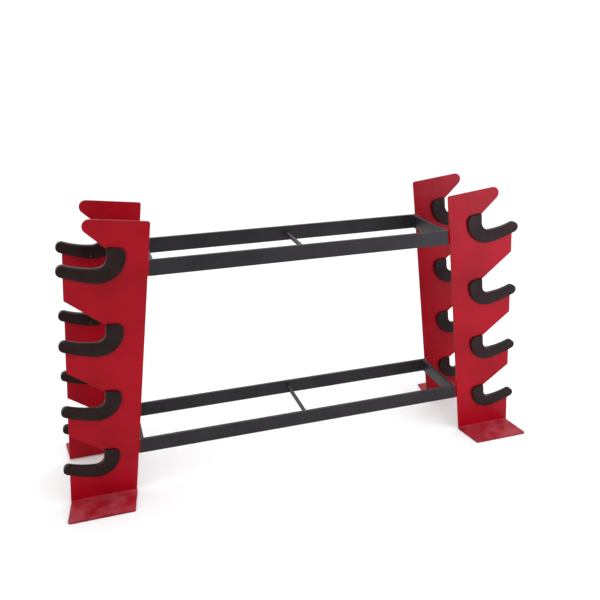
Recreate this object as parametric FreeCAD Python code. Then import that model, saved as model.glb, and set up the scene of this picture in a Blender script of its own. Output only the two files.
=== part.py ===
import FreeCAD, Part
import math
import os

# Double-ended dumbbell rack, in millimetres.
# +X runs along the rack, -Y is its front and +Z is up. The origin is on the floor
# under the middle of the rack. All four uprights are mirror images of each other.

# Uprights: bent plates that lean towards the middle of the rack
lean = 7.4                    # degrees from the vertical
floor_half_span = 659.5       # from the middle to an upright's inner edge, at the floor
upright_length = 1000.0       # along the inner edge
bottom_width = 228.0
width_growth = 0.043          # width gained for each mm of length
plate = 6.0
inside_gap = 271.0            # between the front and the rear uprights
foot_reach = 119.5            # how far a foot runs out from its plate's face
foot_inner_skew = 18.0        # a foot's sides carry on the slant of the plate's edges
foot_outer_skew = 14.0
bend_radius = 6.0             # inside of the bend at the foot
top_corner_radius = 8.0
notch_corner_radius = 7.0
foot_corner_radius = 9.0
nose_start = (186.0, 998.0)   # the rounded nose at the top, along and up the plate
nose_tip = (210.0, 977.0)
nose_end = (203.0, 958.0)

# Tiers, counted from the top. A tier is placed by the tip of its saddle.
tiers = 4
top_tip_height = 828.0
tier_pitch = 256.0            # first step down
pitch_step = 16.0             # each further step is this much smaller
first_scale = 1.04            # saddles get a little smaller towards the floor
scale_step = 0.04
tip_overhang = 21.0           # saddle tip past the plate's outer edge

# Saddle: a J-shaped band round a centre line, sizes before the tier's scale.
# "In" is measured from the tip towards the rack's middle, "up" from the tip.
wall_in = 176.0               # centre line of the upright part
wall_top = 80.0
bowl_radius = 61.0            # centre line, wall to bowl
bowl_drop = 12.5              # centre line at its lowest, below the tip's centre
lip_run = 96.0                # level distance from the bowl's bottom to the tip's centre
band_top = 29.0               # half width at the upper end
band_tip = 19.0               # half width at the tip
saddle_depth = 25.0
saddle_outer_corner = 24.0
saddle_inner_corner = 6.0
saddle_edge = 4.0
diagonal_up = 73.2            # where the plate's slanting cut meets the saddle's wall
drop_to_corner = 95.0         # from a tip down to the next corner of the outer edge

# Frames: flat-sided tubes welded into rectangles
tube_height = 55.0
tube_width = 12.0
tube_wall = 2.0
frame_middles = {"top": 835.0, "bottom": 177.0}
cleat = 5.0                   # thickness of the angle cleats, and the gap they fill
cleat_leg = 45.0
brace = 12.0

# Fasteners
bolt_spacing = 30.0           # along the cleat
bolt_depth_in = 30.0          # from the uprights' inner faces
bolt_radius = 4.0
bolt_hole_radius = 4.5
head_radius = 7.5
head_height = 5.3
washer_radius = 8.0
washer = 1.6
insert_radius = 5.5
insert_bulge = 7.0
insert_length = 9.0
insert_bulge_length = 3.0
bolt_grip = 13.0              # shank inside the cleat and the tube
screw_radius = 3.0
screw_head_radius = 5.2
screw_head = 3.3
screw_sink = 3.6              # depth of the pocket for a screw's head
screw_pocket_radius = 5.5
screw_round = 1.5             # rounding of a screw's head
socket_radius = 1.8
socket_depth = 2.0
screw_places = ((190.5, 52.0), (114.0, -25.5))   # in and up, before the tier's scale

# Working values
same_place = 0.01             # points closer than this are one point
overrun = 1.0                 # how far a cut runs past a face
halvings = 60                 # rounds of a search for a crossing
edge_points = 17              # points on each long edge of a saddle's band

slant = math.tan(math.radians(lean))
cos_lean = math.cos(math.radians(lean))
sin_lean = math.sin(math.radians(lean))
face_y = inside_gap / 2                 # inner faces of the uprights
middle_y = face_y + plate / 2
rail_y = face_y - tube_width            # inner faces of the long rails
bend_outer = bend_radius + plate

Vector = FreeCAD.Vector
X_AXIS = Vector(1, 0, 0)
Y_AXIS = Vector(0, 1, 0)


def spot(u, v, y=0.0):
    """A point of the right-hand end: u outwards across the plate, v up along its inner edge."""
    return Vector(floor_half_span + u * cos_lean - v * sin_lean, y, u * sin_lean + v * cos_lean)


def height_to_v(u, z):
    return (z - u * sin_lean) / cos_lean


def outer_edge(v):
    return bottom_width + width_growth * v


def tier_scale(tier):
    return first_scale - scale_step * tier


def tip_of(tier):
    v = top_tip_height - tier * tier_pitch + pitch_step * tier * (tier - 1) / 2
    return outer_edge(v) + tip_overhang, v


def in_tier(tier, inwards, up):
    """Turns a saddle's own measures into the plate's u and v."""
    u, v = tip_of(tier)
    scale = tier_scale(tier)
    return u - inwards * scale, v + up * scale


def tier_spot(tier, inwards, up, y=0.0):
    return spot(*in_tier(tier, inwards, up), y)


def line(a, b):
    return Part.LineSegment(a, b).toShape()


def arc(a, b, c):
    return Part.Arc(a, b, c).toShape()


def slab(edges, y_low, depth):
    """A closed outline in the XZ plane, given depth along Y."""
    face = Part.Face(Part.Wire(edges))
    face.translate(Vector(0, y_low, 0))
    return face.extrude(Vector(0, depth, 0))


def local_box(u, v, y, size_u, size_v, size_y):
    """A box whose sides follow the uprights' lean, from its lowest corner."""
    box = Part.makeBox(size_u, size_y, size_v, Vector(u, y, v))
    box.rotate(Vector(0, 0, 0), Y_AXIS, -lean)
    box.translate(Vector(floor_half_span, 0, 0))
    return box


def rod(u, v, y, radius, length):
    """A cylinder that runs outwards along u."""
    return Part.makeCylinder(radius, length, spot(u, v, y), Vector(cos_lean, 0, sin_lean))


def round_at(solid, points, radius):
    """Rounds the edges along Y that stand at the given points of the XZ plane."""
    picked = []
    for edge in solid.Edges:
        ends = [vertex.Point for vertex in edge.Vertexes]
        if len(ends) != 2 or abs(ends[0].y - ends[1].y) < plate / 2:
            continue
        for point in points:
            if all(math.hypot(end.x - point.x, end.z - point.z) < same_place for end in ends):
                picked.append(edge)
    return solid.makeFillet(radius, picked)


def bowl_centre():
    return wall_in - bowl_radius, bowl_radius - bowl_drop


def lip_radius():
    """The lip's centre line rises by bowl_drop along lip_run, level where it starts."""
    return (lip_run ** 2 + bowl_drop ** 2) / (2 * bowl_drop)


def lip_point(angle):
    """A point on the lip's centre line, by the angle turned since the bowl's bottom."""
    inwards, _ = bowl_centre()
    radius = lip_radius()
    return inwards - radius * math.sin(angle), -bowl_drop + radius * (1 - math.cos(angle))


def lip_end_angle():
    return math.asin(lip_run / lip_radius())


def centre_line(distance):
    """Place and direction on a saddle's centre line, at a distance from its upper end."""
    bowl_in, bowl_up = bowl_centre()
    straight = wall_top - bowl_up
    quarter = bowl_radius * math.pi / 2
    if distance < straight:
        return (wall_in, wall_top - distance), (0.0, -1.0)
    if distance < straight + quarter:
        turn = (distance - straight) / bowl_radius
        place = (bowl_in + bowl_radius * math.cos(turn), bowl_up - bowl_radius * math.sin(turn))
        return place, (-math.sin(turn), -math.cos(turn))
    turn = (distance - straight - quarter) / lip_radius()
    return lip_point(turn), (-math.cos(turn), math.sin(turn))


def centre_length():
    _, bowl_up = bowl_centre()
    return wall_top - bowl_up + bowl_radius * math.pi / 2 + lip_radius() * lip_end_angle()


def half_band(distance):
    """Half the band's width: it eases from band_top to band_tip along the centre line."""
    part = distance / centre_length()
    return band_top + (band_tip - band_top) * part * part * (3 - 2 * part)


def band_edge(tier, side):
    """One long edge of the band, as a smooth curve from the upper end to the tip."""
    points = []
    for step in range(edge_points):
        distance = centre_length() * step / (edge_points - 1)
        (inwards, up), (along_in, along_up) = centre_line(distance)
        half = half_band(distance) * side
        points.append(tier_spot(tier, inwards + half * along_up, up - half * along_in))
    curve = Part.BSplineCurve()
    curve.interpolate(points)
    return curve.toShape(), points[0], points[-1]


def saddle_blank(tier):
    """The moulded J before it is slotted over the plate."""
    inner, inner_top, inner_tip = band_edge(tier, 1)
    outer, outer_top, outer_tip = band_edge(tier, -1)
    (tip_in, tip_up), (along_in, along_up) = centre_line(centre_length())
    far = tier_spot(tier, tip_in + band_tip * along_in, tip_up + band_tip * along_up)
    edges = [inner, arc(inner_tip, far, outer_tip), outer, line(outer_top, inner_top)]
    blank = slab(edges, -middle_y - saddle_depth / 2, saddle_depth)
    blank = round_at(blank, [outer_top], saddle_outer_corner * tier_scale(tier))
    blank = round_at(blank, [inner_top], saddle_inner_corner)
    rims = [edge for edge in blank.Edges if edge.BoundBox.YLength < same_place]
    return blank.makeFillet(saddle_edge, rims)


def lip_exit(tier):
    """The angle on the lip's centre line where it crosses the plate's outer edge."""
    low, high = 0.0, lip_end_angle()
    for _ in range(halvings):
        angle = (low + high) / 2
        u, v = in_tier(tier, *lip_point(angle))
        if u < outer_edge(v):
            low = angle
        else:
            high = angle
    return high


def corner_below(tier):
    """The corner of the outer edge under a tier, where the next slanting cut starts."""
    v = tip_of(tier)[1] - drop_to_corner * tier_scale(tier)
    return outer_edge(v), v


def notch_edges(tier, start):
    """Outline of one notch, from the slanting cut's upper end to the plate's outer edge."""
    wall_u, _ = in_tier(tier, wall_in, 0)
    meet_u, meet_v = in_tier(tier, wall_in - band_top, diagonal_up)
    cut_v = start[1] + (meet_v - start[1]) * (wall_u - start[0]) / (meet_u - start[0])
    bowl_in, bowl_up = bowl_centre()
    half_turn = math.pi / 4
    bowl_middle = (bowl_in + bowl_radius * math.cos(half_turn), bowl_up - bowl_radius * math.sin(half_turn))
    wall_foot = tier_spot(tier, wall_in, bowl_up)
    bowl_foot = tier_spot(tier, bowl_in, -bowl_drop)
    exit_angle = lip_exit(tier)
    exit_spot = tier_spot(tier, *lip_point(exit_angle))
    edges = [line(spot(*start), spot(wall_u, cut_v)),
             line(spot(wall_u, cut_v), wall_foot),
             arc(wall_foot, tier_spot(tier, *bowl_middle), bowl_foot),
             arc(bowl_foot, tier_spot(tier, *lip_point(exit_angle / 2)), exit_spot)]
    return edges, exit_spot


def upright_plate():
    """The standing part of the front right upright, down to the start of its bend."""
    inner_foot = spot(0, height_to_v(0, bend_outer))
    inner_top = spot(0, upright_length)
    edges = [line(inner_foot, inner_top), line(inner_top, spot(*nose_start)),
             arc(spot(*nose_start), spot(*nose_tip), spot(*nose_end))]
    start = nose_end
    corners = []
    for tier in range(tiers):
        cut, exit_spot = notch_edges(tier, start)
        edges += cut
        if tier < tiers - 1:
            start = corner_below(tier)
            edges.append(line(exit_spot, spot(*start)))
            corners.append(spot(*start))
    outer_foot = foot_outer_corner()
    edges += [line(exit_spot, outer_foot), line(outer_foot, inner_foot)]
    standing = slab(edges, -face_y - plate, plate)
    standing = round_at(standing, [inner_top], top_corner_radius)
    return round_at(standing, corners, notch_corner_radius)


def foot_outer_corner():
    """Where the outer edge reaches the top of the bend."""
    v = height_to_v(bottom_width, bend_outer) / (1 + width_growth * slant)
    return spot(outer_edge(v), v)


def upright_foot():
    """The bend and the foot that lies on the floor, in front of the plate."""
    inner_x = spot(0, height_to_v(0, bend_outer)).x
    outer_x = foot_outer_corner().x
    bend_y = -face_y - bend_outer
    width = outer_x - inner_x
    ring = Part.makeCylinder(bend_outer, width, Vector(inner_x, bend_y, bend_outer), X_AXIS)
    hole = Part.makeCylinder(bend_radius, width, Vector(inner_x, bend_y, bend_outer), X_AXIS)
    quarter = Part.makeBox(width, bend_outer, bend_outer, Vector(inner_x, bend_y, 0))
    bend = ring.cut(hole).common(quarter)
    front_y = -face_y - plate - foot_reach
    corners = [Vector(inner_x, bend_y, 0), Vector(outer_x, bend_y, 0),
               Vector(outer_x + foot_outer_skew, front_y, 0), Vector(inner_x + foot_inner_skew, front_y, 0)]
    foot = Part.Face(Part.makePolygon(corners + corners[:1])).extrude(Vector(0, 0, plate))
    outer_edges = [edge for edge in foot.Edges
                   if edge.BoundBox.ZLength > plate / 2 and edge.BoundBox.XMin > outer_x]
    foot = foot.makeFillet(foot_corner_radius, outer_edges)
    return bend.fuse(foot)


def screw_spots(tier):
    return [tier_spot(tier, inwards, up) for inwards, up in screw_places]


def screw_bore(place, radius, start_y, depth):
    """A round bore along Y at a saddle screw, from start_y towards the front."""
    return Part.makeCylinder(radius, depth, Vector(place.x, start_y, place.z), Vector(0, -1, 0))


def screw(place):
    """A button-headed screw from the inner side, threaded into the plate."""
    seat_y = -middle_y + saddle_depth / 2 - screw_sink
    head = screw_bore(place, screw_head_radius, seat_y + screw_head, screw_head)
    shank = screw_bore(place, screw_radius, seat_y, seat_y + face_y + plate)
    top_edge = [edge for edge in head.Edges if edge.BoundBox.YMin > seat_y + screw_head / 2]
    socket = screw_bore(place, socket_radius, seat_y + screw_head + overrun, socket_depth + overrun)
    return head.makeFillet(screw_round, top_edge).fuse(shank).cut(socket).removeSplitter()


def make_upright():
    upright = upright_plate().fuse(upright_foot()).removeSplitter()
    for tier in range(tiers):
        for place in screw_spots(tier):
            upright = upright.cut(screw_bore(place, screw_radius, -face_y + overrun, plate + 2 * overrun))
    return upright


def make_saddle(tier, upright):
    """A saddle slotted over the edge of its notch, with pockets for two screws."""
    saddle = saddle_blank(tier).cut(upright)
    inner_y = -middle_y + saddle_depth / 2
    for place in screw_spots(tier):
        saddle = saddle.cut(screw_bore(place, screw_pocket_radius, inner_y + overrun, screw_sink + overrun))
        saddle = saddle.cut(screw_bore(place, screw_radius, inner_y, inner_y + face_y + plate))
    return saddle


def bolt_spots(frame):
    """The bolts through one cleat of a frame, as v and y."""
    middle_v = height_to_v(-cleat - tube_width / 2, frame_middles[frame])
    y = -face_y + bolt_depth_in
    return [(middle_v - bolt_spacing / 2, y), (middle_v + bolt_spacing / 2, y)]


def make_cleats():
    """Two pieces of angle welded to the inner face of an upright, one for each frame."""
    cleats = []
    for frame, middle in frame_middles.items():
        low_v = height_to_v(-cleat - tube_width / 2, middle) - tube_height / 2
        flat = local_box(-cleat, low_v, -face_y, cleat_leg, tube_height, cleat)
        standing = local_box(-cleat, low_v, -face_y, cleat, tube_height, cleat_leg)
        angle = flat.fuse(standing).removeSplitter()
        for v, y in bolt_spots(frame):
            angle = angle.cut(rod(-2 * cleat, v, y, bolt_hole_radius, 3 * cleat))
        cleats.append(angle)
    return cleats


def make_long_rail(frame):
    """The front rail of a frame: a tube whose ends are cut to the uprights' lean."""
    middle = frame_middles[frame]

    def profile(margin, past_ends):
        low, high = middle - tube_height / 2 + margin, middle + tube_height / 2 - margin
        right = [spot(-cleat, height_to_v(-cleat, z)).x + past_ends for z in (low, high)]
        points = [Vector(-right[0], 0, low), Vector(right[0], 0, low),
                  Vector(right[1], 0, high), Vector(-right[1], 0, high)]
        return Part.Face(Part.makePolygon(points + points[:1]))

    outside = profile(0, 0).extrude(Vector(0, tube_width, 0))
    inside = profile(tube_wall, tube_wall).extrude(Vector(0, tube_width - 2 * tube_wall, 0))
    inside.translate(Vector(0, tube_wall, 0))
    rail = outside.cut(inside)
    rail.translate(Vector(0, -face_y, 0))
    return rail


def make_end_rail(frame):
    """The right-hand end of a frame, between its long rails, leaning as the uprights do."""
    low_v = height_to_v(-cleat - tube_width / 2, frame_middles[frame]) - tube_height / 2
    outer = local_box(-cleat - tube_width, low_v, -rail_y, tube_width, tube_height, 2 * rail_y)
    inner = local_box(-cleat - tube_width + tube_wall, low_v + tube_wall, -rail_y,
                      tube_width - 2 * tube_wall, tube_height - 2 * tube_wall, 2 * rail_y)
    rail = outer.cut(inner)
    for v, y in bolt_spots(frame):
        for place in (y, -y):
            start = -cleat - tube_wall - overrun
            rail = rail.cut(rod(start, v, place, insert_radius, tube_wall + 2 * overrun))
    return rail


def make_brace(frame):
    low = frame_middles[frame] - brace / 2
    return Part.makeBox(brace, 2 * rail_y, brace, Vector(-brace / 2, -rail_y, low))


def hexagon_prism(u, v, y, radius, height):
    """A hexagon prism that runs outwards along u."""
    corners = []
    for corner in range(6):
        angle = math.radians(60 * corner)
        corners.append(spot(u, v + radius * math.sin(angle), y + radius * math.cos(angle)))
    face = Part.Face(Part.makePolygon(corners + corners[:1]))
    return face.extrude(Vector(cos_lean * height, 0, sin_lean * height))


def make_bolt(v, y):
    head = hexagon_prism(washer, v, y, head_radius, head_height)
    shank = rod(-bolt_grip, v, y, bolt_radius, bolt_grip + washer)
    return head.fuse(shank).removeSplitter()


def make_washer(v, y):
    return rod(0, v, y, washer_radius, washer).cut(rod(-overrun, v, y, bolt_radius, washer + 2 * overrun))


def make_insert(v, y):
    """A threaded insert set in the outer wall of an end rail."""
    body = rod(-cleat - insert_length, v, y, insert_radius, insert_length)
    bulge = rod(-cleat - tube_wall - insert_bulge_length, v, y, insert_bulge, insert_bulge_length)
    bore = rod(-cleat - insert_length - overrun, v, y, bolt_radius, insert_length + 2 * overrun)
    return body.fuse(bulge).cut(bore).removeSplitter()


def at_place(solid, row, end):
    """Mirrors a piece of the front right quarter to its row and its end."""
    placed = solid.copy()
    if row == "rear":
        placed = placed.mirror(Vector(0, 0, 0), Vector(0, 1, 0))
    if end == "left":
        placed = placed.mirror(Vector(0, 0, 0), Vector(1, 0, 0))
    return placed


def write(name, solids):
    shape = solids[0] if len(solids) == 1 else Part.makeCompound(solids)
    for solid in shape.Solids:
        if not solid.isValid():
            raise ValueError("bad solid in " + name)
    shape.exportStep("parts/" + name + ".step")
    box = shape.BoundBox
    print(name, len(shape.Solids), round(box.XMin, 1), round(box.XMax, 1), round(box.YMin, 1),
          round(box.YMax, 1), round(box.ZMin, 1), round(box.ZMax, 1))


os.makedirs("parts", exist_ok=True)
upright = make_upright()
cleats = make_cleats()
saddles = [make_saddle(tier, upright) for tier in range(tiers)]
screws = [screw(place) for tier in range(tiers) for place in screw_spots(tier)]
for row in ("front", "rear"):
    for end in ("left", "right"):
        place = row + "_" + end
        write("upright_" + place, [at_place(upright, row, end)])
        write("cleats_" + place, [at_place(piece, row, end) for piece in cleats])
        write("saddle_screws_" + place, [at_place(piece, row, end) for piece in screws])
        for tier, saddle in enumerate(saddles):
            write("saddle_" + place + "_" + str(tier + 1), [at_place(saddle, row, end)])

quarters = [(row, end) for row in ("front", "rear") for end in ("left", "right")]
for frame in frame_middles:
    long_rail = make_long_rail(frame)
    end_rail = make_end_rail(frame)
    write(frame + "_rail_front", [long_rail])
    write(frame + "_rail_rear", [at_place(long_rail, "rear", "right")])
    write(frame + "_end_rail_right", [end_rail])
    write(frame + "_end_rail_left", [at_place(end_rail, "front", "left")])
    write(frame + "_brace", [make_brace(frame)])
    for name, maker in (("bolts", make_bolt), ("washers", make_washer), ("inserts", make_insert)):
        pieces = [maker(v, y) for v, y in bolt_spots(frame)]
        write(frame + "_" + name, [at_place(piece, row, end) for row, end in quarters for piece in pieces])
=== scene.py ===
import math
import bmesh
import bpy
import numpy as np
from mathutils import Euler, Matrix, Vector


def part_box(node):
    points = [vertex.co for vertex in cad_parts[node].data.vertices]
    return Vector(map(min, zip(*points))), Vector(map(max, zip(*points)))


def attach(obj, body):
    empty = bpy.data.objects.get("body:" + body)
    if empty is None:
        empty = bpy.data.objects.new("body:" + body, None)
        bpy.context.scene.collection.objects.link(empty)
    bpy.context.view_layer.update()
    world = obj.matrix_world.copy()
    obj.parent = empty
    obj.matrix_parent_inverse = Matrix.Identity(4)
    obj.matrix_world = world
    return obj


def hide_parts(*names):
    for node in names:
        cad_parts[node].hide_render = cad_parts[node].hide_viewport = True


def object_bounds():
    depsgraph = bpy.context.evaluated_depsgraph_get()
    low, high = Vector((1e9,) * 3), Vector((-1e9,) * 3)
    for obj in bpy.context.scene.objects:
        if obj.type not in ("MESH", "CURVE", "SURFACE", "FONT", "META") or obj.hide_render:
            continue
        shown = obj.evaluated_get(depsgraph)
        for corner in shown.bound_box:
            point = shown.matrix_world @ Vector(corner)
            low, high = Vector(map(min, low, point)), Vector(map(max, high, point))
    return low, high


# Red and black dumbbell rack. Shapes are worked out in millimetres for the front right
# quarter and mirrored to the other three, then put into metres as each mesh is made.

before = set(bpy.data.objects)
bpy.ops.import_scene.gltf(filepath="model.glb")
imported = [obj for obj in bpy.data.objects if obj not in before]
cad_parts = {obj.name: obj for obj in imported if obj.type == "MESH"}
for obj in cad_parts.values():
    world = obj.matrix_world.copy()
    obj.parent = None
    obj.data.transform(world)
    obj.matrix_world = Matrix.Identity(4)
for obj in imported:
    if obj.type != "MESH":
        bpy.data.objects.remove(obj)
cadLow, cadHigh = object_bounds()
mm = 0.001
quarters = [(row, end) for row in ("front", "rear") for end in ("left", "right")]
print("frame loaded,", len(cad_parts), "nodes")


# the view, and a plain white room for it

camera = {
    "offset": (-0.7456, -2.3326, 1.0429),   # from the middle of the rack
    "heading": 18.0,                        # degrees to the right of straight on
    "dip": 21.06,                           # degrees below level
    "roll": -0.32,
    "lens": 41.78,
}

studio = {
    "floorSize": 40.0,
    "floorColour": (0.93, 0.93, 0.93, 1), "floorRoughness": 0.7, "floorSpecular": 0.1,
    "skyColour": (1.0, 1.0, 1.0, 1),
    "skyStrength": 1.12,
    # name, place, aim, width and height, watts, colour
    "lights": [
        ("overheadSoftbox", (0.7, 0.3, 3.2), (0.2, 0.0, 0.4), (2.6, 2.0), 24, (1.0, 0.99, 0.98)),
        ("rightSoftbox", (2.1, -2.0, 0.75), (0.8, -0.1, 0.5), (1.3, 1.1), 27, (0.84, 0.78, 1.0)),
    ],
}


def makeCamera(setup):
    middle = (cadLow + cadHigh) / 2
    data = bpy.data.cameras.new("camera")
    data.lens = setup["lens"]
    seen = bpy.data.objects.new("camera", data)
    seen.location = middle + Vector(setup["offset"])
    turn = Euler((0, 0, math.radians(-setup["heading"]))).to_matrix()
    tilt = Euler((math.radians(90 - setup["dip"]), 0, 0)).to_matrix()
    roll = Euler((0, 0, math.radians(setup["roll"]))).to_matrix()
    seen.rotation_euler = (turn @ tilt @ roll).to_euler()
    bpy.context.scene.collection.objects.link(seen)
    bpy.context.scene.camera = seen


def makeStudio(setup):
    scene = bpy.context.scene
    scene.view_settings.view_transform = "Standard"
    half = setup["floorSize"] / 2
    mesh = bpy.data.meshes.new("floor")
    corners = [(-half, -half, 0), (half, -half, 0), (half, half, 0), (-half, half, 0)]
    mesh.from_pydata(corners, [], [(0, 1, 2, 3)])
    floor = bpy.data.objects.new("floor", mesh)
    scene.collection.objects.link(floor)
    paint = bpy.data.materials.new("paleFloor")
    paint.use_nodes = True
    shader = paint.node_tree.nodes["Principled BSDF"]
    shader.inputs["Base Color"].default_value = setup["floorColour"]
    shader.inputs["Roughness"].default_value = setup["floorRoughness"]
    shader.inputs["Specular IOR Level"].default_value = setup["floorSpecular"]
    mesh.materials.append(paint)

    world = bpy.data.worlds.new("studioSky")
    world.use_nodes = True
    sky = world.node_tree.nodes["Background"]
    sky.inputs["Color"].default_value = setup["skyColour"]
    sky.inputs["Strength"].default_value = setup["skyStrength"]
    scene.world = world

    for name, place, aim, size, watts, colour in setup["lights"]:
        data = bpy.data.lights.new(name, "AREA")
        data.shape = "RECTANGLE"
        data.size, data.size_y = size
        data.energy = watts
        data.color = colour
        lamp = bpy.data.objects.new(name, data)
        lamp.location = place
        lamp.rotation_euler = (Vector(aim) - Vector(place)).to_track_quat("-Z", "Y").to_euler()
        scene.collection.objects.link(lamp)


makeCamera(camera)
makeStudio(studio)
print("camera and studio ready")


# Every finish is mixed from noise on the piece's own coordinates. Points marked rim are a sheet's
# or a tube's cut edges, and points marked seat are where a dumbbell rubs. In the dictionaries, a
# noise is its scale, detail and stretch, patches are a noise with its limits, and a bump is a
# noise, its strength and its depth in metres.

def newFinish(name):
    finish = bpy.data.materials.new(name)
    finish.use_nodes = True
    tree = finish.node_tree
    return finish, tree, tree.nodes["Principled BSDF"]


def addNode(tree, kind, inputs=(), **settings):
    node = tree.nodes.new(kind)
    for key, value in settings.items():
        setattr(node, key, value)
    for key, value in dict(inputs).items():
        if isinstance(value, bpy.types.NodeSocket):
            tree.links.new(value, node.inputs[key])
        else:
            node.inputs[key].default_value = value
    return node


def addNoise(tree, scale, detail=3.0, stretch=(1, 1, 1)):
    # noise on the piece's own coordinates, in lumps of about 1/scale metres
    place = addNode(tree, "ShaderNodeTexCoord")
    sized = addNode(tree, "ShaderNodeMapping", {"Vector": place.outputs["Object"], "Scale": stretch})
    noise = addNode(tree, "ShaderNodeTexNoise",
                    {"Vector": sized.outputs["Vector"], "Scale": scale, "Detail": detail})
    return noise.outputs["Fac"]


def addRamp(tree, value, low, high, toLow=0.0, toHigh=1.0):
    ramp = addNode(tree, "ShaderNodeMapRange", {"Value": value, "From Min": low, "From Max": high,
                                                "To Min": toLow, "To Max": toHigh})
    return ramp.outputs["Result"]


def addPatches(tree, noise, limits):
    # noise below the first limit is none of the patch, and above the second all of it
    return addRamp(tree, addNoise(tree, *noise), *limits)


def addMix(tree, share, first, second):
    mix = addNode(tree, "ShaderNodeMix", {"Factor": share}, data_type="RGBA")
    for socket, colour in zip((mix.inputs[6], mix.inputs[7]), (first, second)):
        if isinstance(colour, bpy.types.NodeSocket):
            tree.links.new(colour, socket)
        else:
            socket.default_value = (*colour, 1)
    return mix.outputs[2]


def addBump(tree, shader, bumps):
    # each bump is laid over the one before
    below = None
    for noise, strength, depth in bumps:
        inputs = {"Height": addNoise(tree, *noise), "Strength": strength, "Distance": depth}
        if below is not None:
            inputs["Normal"] = below
        below = addNode(tree, "ShaderNodeBump", inputs).outputs["Normal"]
    tree.links.new(below, shader.inputs["Normal"])


def timesNodes(tree, first, second):
    return addNode(tree, "ShaderNodeMath", {0: first, 1: second}, operation="MULTIPLY").outputs["Value"]


def readMark(tree, mark):
    return addNode(tree, "ShaderNodeAttribute", attribute_name=mark).outputs["Fac"]


def facingUp(tree, least):
    # none where the face's upward share is below the least, all of it on a level face
    normal = addNode(tree, "ShaderNodeNewGeometry").outputs["Normal"]
    upward = addNode(tree, "ShaderNodeSeparateXYZ", {"Vector": normal}).outputs["Z"]
    return addRamp(tree, upward, least, 1.0)


redCoat = {
    "name": "redPowderCoat",
    "colours": ((0.238, 0.0008, 0.0062), (0.310, 0.0012, 0.0085)), "cloud": ((7.0, 4.0), (0.35, 0.65)),
    # rim colour: a darker red, partly wear and partly painted shade along the plates' edges
    "worn": (0.085, 0.006, 0.009), "wear": ((60.0, 6.0), (0.40, 0.66, 0.10, 0.85)),
    # upward faces: partly dust, partly a painted highlight, the pale bluish sky sheen on the plates' and
    # feet's tops
    "dustAndSheen": (0.52, 0.125, 0.165), "dustAndSheenPatches": ((18.0, 8.0), (0.38, 0.72, 0.06, 0.42)), "dustAndSheenFrom": 0.5,
    "roughness": ((24.0, 5.0), (0.3, 0.7, 0.30, 0.42)), "specular": 0.11,
    "bumps": (((9.0, 2.0), 0.15, 0.004), ((480.0, 2.0), 0.60, 0.0005)),       # waves, orange peel
}

blackCoat = {
    "name": "blackPowderCoat",
    "colours": ((0.0115, 0.0105, 0.0125), (0.0185, 0.017, 0.0195)), "cloud": ((11.0, 5.0), (0.35, 0.7)),
    "worn": (0.040, 0.037, 0.040), "wear": ((45.0, 6.0), (0.42, 0.62)),
    # upward faces: partly dust, partly a painted highlight, the paler line along the tubes' top faces
    "dustAndSheen": (0.058, 0.048, 0.053), "dustAndSheenPatches": ((30.0, 8.0), (0.35, 0.7, 0.35, 0.85)), "dustAndSheenFrom": 0.6,
    "roughness": ((35.0, 6.0, (1, 4, 4)), (0.3, 0.7, 0.36, 0.50)), "specular": 0.20,
    "bumps": (((900.0, 3.0), 0.35, 0.0003),),                                 # grain
}


def makeCoat(look):
    # two colours in clouds, worn through along the rims, with dust settled on the level faces.
    # The colour on upward faces is partly dust and partly a painted highlight: the pale sky sheen on top
    # faces
    finish, tree, shader = newFinish(look["name"])
    colour = addMix(tree, addPatches(tree, *look["cloud"]), *look["colours"])
    # rims take the worn colour; on the red coat it is darker, partly wear and partly painted shade on the
    # edges
    rubbed = timesNodes(tree, readMark(tree, "rim"), addPatches(tree, *look["wear"]))
    colour = addMix(tree, rubbed, colour, look["worn"])
    # upward faces take the paler colour in patches: partly dust, partly painted sheen from above
    dustAndSheenShare = timesNodes(tree, facingUp(tree, look["dustAndSheenFrom"]), addPatches(tree, *look["dustAndSheenPatches"]))
    colour = addMix(tree, dustAndSheenShare, colour, look["dustAndSheen"])
    tree.links.new(colour, shader.inputs["Base Color"])
    tree.links.new(addPatches(tree, *look["roughness"]), shader.inputs["Roughness"])
    shader.inputs["Specular IOR Level"].default_value = look["specular"]
    addBump(tree, shader, look["bumps"])
    return finish


saddleRubber = {
    "colour": (0.0108, 0.0034, 0.0030),
    "bloom": (0.0170, 0.0078, 0.0072), "bloomPatches": ((16.0, 6.0), (0.38, 0.72)),
    "speck": (0.032, 0.022, 0.021), "speckPatches": ((620.0, 1.0), (0.70, 0.76)),
    "roughness": ((40.0, 5.0), (0.3, 0.7, 0.40, 0.56)), "polished": 0.30, "specular": 0.12,
    "bumps": (((70.0, 3.0), 0.20, 0.0012), ((1300.0, 2.0), 0.60, 0.0003)),    # flow, grain
}


def makeSaddleRubber(look):
    # one colour with a paler bloom and fine specks, polished on the seat
    finish, tree, shader = newFinish("mouldedRubber")
    colour = addMix(tree, addPatches(tree, *look["bloomPatches"]), look["colour"], look["bloom"])
    colour = addMix(tree, addPatches(tree, *look["speckPatches"]), colour, look["speck"])
    tree.links.new(colour, shader.inputs["Base Color"])
    seat = readMark(tree, "seat")
    rough = addPatches(tree, *look["roughness"])
    rubbed = addNode(tree, "ShaderNodeMix", {"Factor": seat, 2: rough, 3: look["polished"]})
    tree.links.new(rubbed.outputs[0], shader.inputs["Roughness"])
    shader.inputs["Specular IOR Level"].default_value = look["specular"]
    addBump(tree, shader, look["bumps"])
    return finish


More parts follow.
